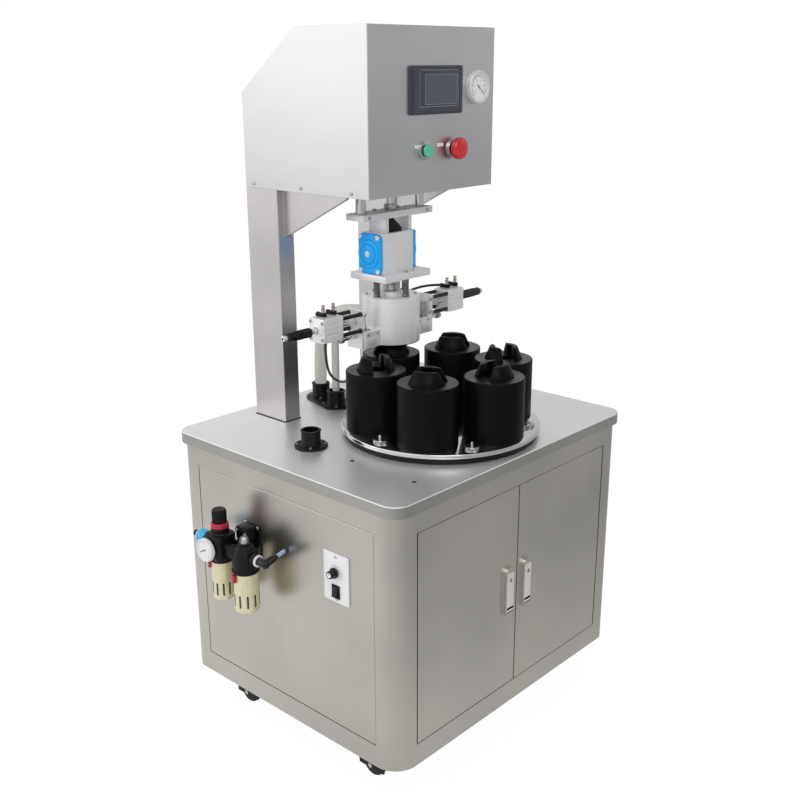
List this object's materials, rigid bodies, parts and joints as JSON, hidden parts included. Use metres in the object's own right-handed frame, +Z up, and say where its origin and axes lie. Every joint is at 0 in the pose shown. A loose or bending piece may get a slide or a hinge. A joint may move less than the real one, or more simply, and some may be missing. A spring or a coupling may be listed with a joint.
{
  "type": "vacuum capping machine",
  "caption": "Mobile vacuum capping machine: steel cabinet with double doors, indexing turntable with jar holders, and a press head with vacuum bell, side clamps and cap chuck.",
  "frame": {"origin": "middle of the bounding box's bottom face, on the floor", "axes": "+Z up; the front with the double doors, the operator panel and the turntable faces -Y; the air service unit is on the -X side"},
  "size_m": [0.779, 0.6, 1.354],
  "materials": {
    "worktop_steel": "fine brushed",
    "cabinet_paint": "satin stainless sheet",
    "head_steel": "brushed stainless sheet",
    "aluminium": "clear anodised",
    "polished_steel": "ground and polished",
    "black_plastic": "matt",
    "holder_nylon": "turned, satin",
    "blue_cap": "gloss blue",
    "clear_hose": "translucent",
    "black_rubber": "matt",
    "screen_case": "satin",
    "gauge_face": "polished rim, white dial",
    "green": "gloss",
    "red": "gloss",
    "cyan": "gloss",
    "gearbox_iron": "painted casting"
  },
  "bodies": {
    "machine": {"cabinet_frame": "cabinet_paint", "panel_left": "cabinet_paint", "panel_right": "cabinet_paint", "panel_rear": "cabinet_paint", "worktop": "worktop_steel", "column_left": "head_steel", "column_right": "head_steel", "head_cover": "head_steel", "head_floor": "head_steel", "press_cylinder": "aluminium", "operator_panel": "screen_case", "vacuum_gauge": "gauge_face", "turntable_base": "black_plastic", "index_drive": "gearbox_iron", "spigot_front": "black_plastic", "spigot_rear": "black_plastic", "hose_large": "clear_hose", "hose_small": "clear_hose", "sensor_cable": "black_rubber", "regulator": "black_plastic", "lubricator": "black_plastic", "speed_plate": "aluminium"},
    "press_head": {"upper_plate": "aluminium", "piston_rod": "polished_steel", "rotary_actuator": "aluminium", "end_cap_left": "blue_cap", "end_cap_right": "blue_cap", "lower_plate": "aluminium", "chamber": "aluminium", "chamber_lid": "polished_steel", "clamp_cylinder_left": "aluminium", "clamp_cylinder_right": "aluminium"},
    "chuck": {"cap_chuck": "polished_steel"},
    "jaw_left": {"clamp_jaw_left": "polished_steel"},
    "jaw_right": {"clamp_jaw_right": "polished_steel"},
    "turntable": {"turntable": "polished_steel", "holder_1": "holder_nylon", "holder_2": "holder_nylon", "holder_3": "holder_nylon", "holder_4": "holder_nylon", "holder_5": "holder_nylon", "holder_6": "holder_nylon"},
    "door_left": {"door_left": "cabinet_paint"},
    "door_right": {"door_right": "cabinet_paint"},
    "latch_left": {"latch_left": "polished_steel"},
    "latch_right": {"latch_right": "polished_steel"},
    "start_button": {"start_button": "green"},
    "estop_button": {"estop_button": "red"},
    "speed_knob": {"speed_knob": "black_plastic"},
    "speed_rocker": {"speed_rocker": "black_plastic"},
    "regulator_knob": {"regulator_knob": "black_plastic"},
    "hand_valve": {"hand_valve": "cyan"},
    "caster_1": {"caster_fork_1": "black_plastic"},
    "wheel_1": {"caster_wheel_1": "black_rubber"},
    "caster_2": {"caster_fork_2": "black_plastic"},
    "wheel_2": {"caster_wheel_2": "black_rubber"},
    "caster_3": {"caster_fork_3": "black_plastic"},
    "wheel_3": {"caster_wheel_3": "black_rubber"},
    "caster_4": {"caster_fork_4": "black_plastic"},
    "wheel_4": {"caster_wheel_4": "black_rubber"}
  },
  "joints": [
    {"name": "press_travel", "type": "slide", "parent": "machine", "child": "press_head", "axis": [0, 0, -1], "range_m": [-0.018, 0.026], "deforming": ["hose_large", "hose_small", "sensor_cable"]},
    {"name": "chuck_turn", "type": "hinge", "parent": "press_head", "child": "chuck", "pos_m": [0.0395, 0.036, 0.8563], "axis": [0, 0, 1], "range_deg": [0, 90]},
    {"name": "jaw_left_travel", "type": "slide", "parent": "press_head", "child": "jaw_left", "axis": [1, 0, 0], "range_m": [0, 0.014]},
    {"name": "jaw_right_travel", "type": "slide", "parent": "press_head", "child": "jaw_right", "axis": [-1, 0, 0], "range_m": [0, 0.014]},
    {"name": "turntable_turn", "type": "hinge", "parent": "machine", "child": "turntable", "pos_m": [0.0395, -0.095, 0.6203], "axis": [0, 0, 1], "continuous": true},
    {"name": "door_left_swing", "type": "hinge", "parent": "machine", "child": "door_left", "pos_m": [-0.2415, -0.286, 0.3285], "axis": [0, 0, -1], "range_deg": [0, 110]},
    {"name": "latch_left_lift", "type": "hinge", "parent": "door_left", "child": "latch_left", "pos_m": [0.0115, -0.2958, 0.289], "axis": [1, 0, 0], "range_deg": [0, 35]},
    {"name": "door_right_swing", "type": "hinge", "parent": "machine", "child": "door_right", "pos_m": [0.3205, -0.286, 0.3285], "axis": [0, 0, 1], "range_deg": [0, 110]},
    {"name": "latch_right_lift", "type": "hinge", "parent": "door_right", "child": "latch_right", "pos_m": [0.0675, -0.2958, 0.289], "axis": [1, 0, 0], "range_deg": [0, 35]},
    {"name": "start_press", "type": "slide", "parent": "machine", "child": "start_button", "axis": [0, 1, 0], "range_m": [0, 0.003], "stiffness_N_per_m": 400},
    {"name": "estop_press", "type": "slide", "parent": "machine", "child": "estop_button", "axis": [0, 1, 0], "range_m": [0, 0.004]},
    {"name": "speed_knob_turn", "type": "hinge", "parent": "machine", "child": "speed_knob", "pos_m": [-0.3125, -0.149, 0.437], "axis": [-1, 0, 0], "range_deg": [-135, 135]},
    {"name": "speed_rocker_tilt", "type": "hinge", "parent": "machine", "child": "speed_rocker", "pos_m": [-0.307, -0.149, 0.399], "axis": [0, 1, 0], "range_deg": [-12, 0]},
    {"name": "regulator_knob_turn", "type": "hinge", "parent": "machine", "child": "regulator_knob", "pos_m": [-0.3525, 0.116, 0.474], "axis": [0, 0, 1], "continuous": true},
    {"name": "hand_valve_travel", "type": "slide", "parent": "machine", "child": "hand_valve", "axis": [0, 1, 0], "range_m": [0, 0.009]},
    {"name": "caster_1_swivel", "type": "hinge", "parent": "machine", "child": "caster_1", "pos_m": [-0.2425, -0.202, 0.075], "axis": [0, 0, 1], "continuous": true},
    {"name": "wheel_1_roll", "type": "hinge", "parent": "caster_1", "child": "wheel_1", "pos_m": [-0.2425, -0.182, 0.025], "axis": [1, 0, 0], "continuous": true},
    {"name": "caster_2_swivel", "type": "hinge", "parent": "machine", "child": "caster_2", "pos_m": [0.3215, -0.202, 0.075], "axis": [0, 0, 1], "continuous": true},
    {"name": "wheel_2_roll", "type": "hinge", "parent": "caster_2", "child": "wheel_2", "pos_m": [0.3215, -0.182, 0.025], "axis": [1, 0, 0], "continuous": true},
    {"name": "caster_3_swivel", "type": "hinge", "parent": "machine", "child": "caster_3", "pos_m": [-0.2425, 0.202, 0.075], "axis": [0, 0, 1], "continuous": true},
    {"name": "wheel_3_roll", "type": "hinge", "parent": "caster_3", "child": "wheel_3", "pos_m": [-0.2425, 0.182, 0.025], "axis": [1, 0, 0], "continuous": true},
    {"name": "caster_4_swivel", "type": "hinge", "parent": "machine", "child": "caster_4", "pos_m": [0.3215, 0.202, 0.075], "axis": [0, 0, 1], "continuous": true},
    {"name": "wheel_4_roll", "type": "hinge", "parent": "caster_4", "child": "wheel_4", "pos_m": [0.3215, 0.182, 0.025], "axis": [1, 0, 0], "continuous": true}
  ]
}
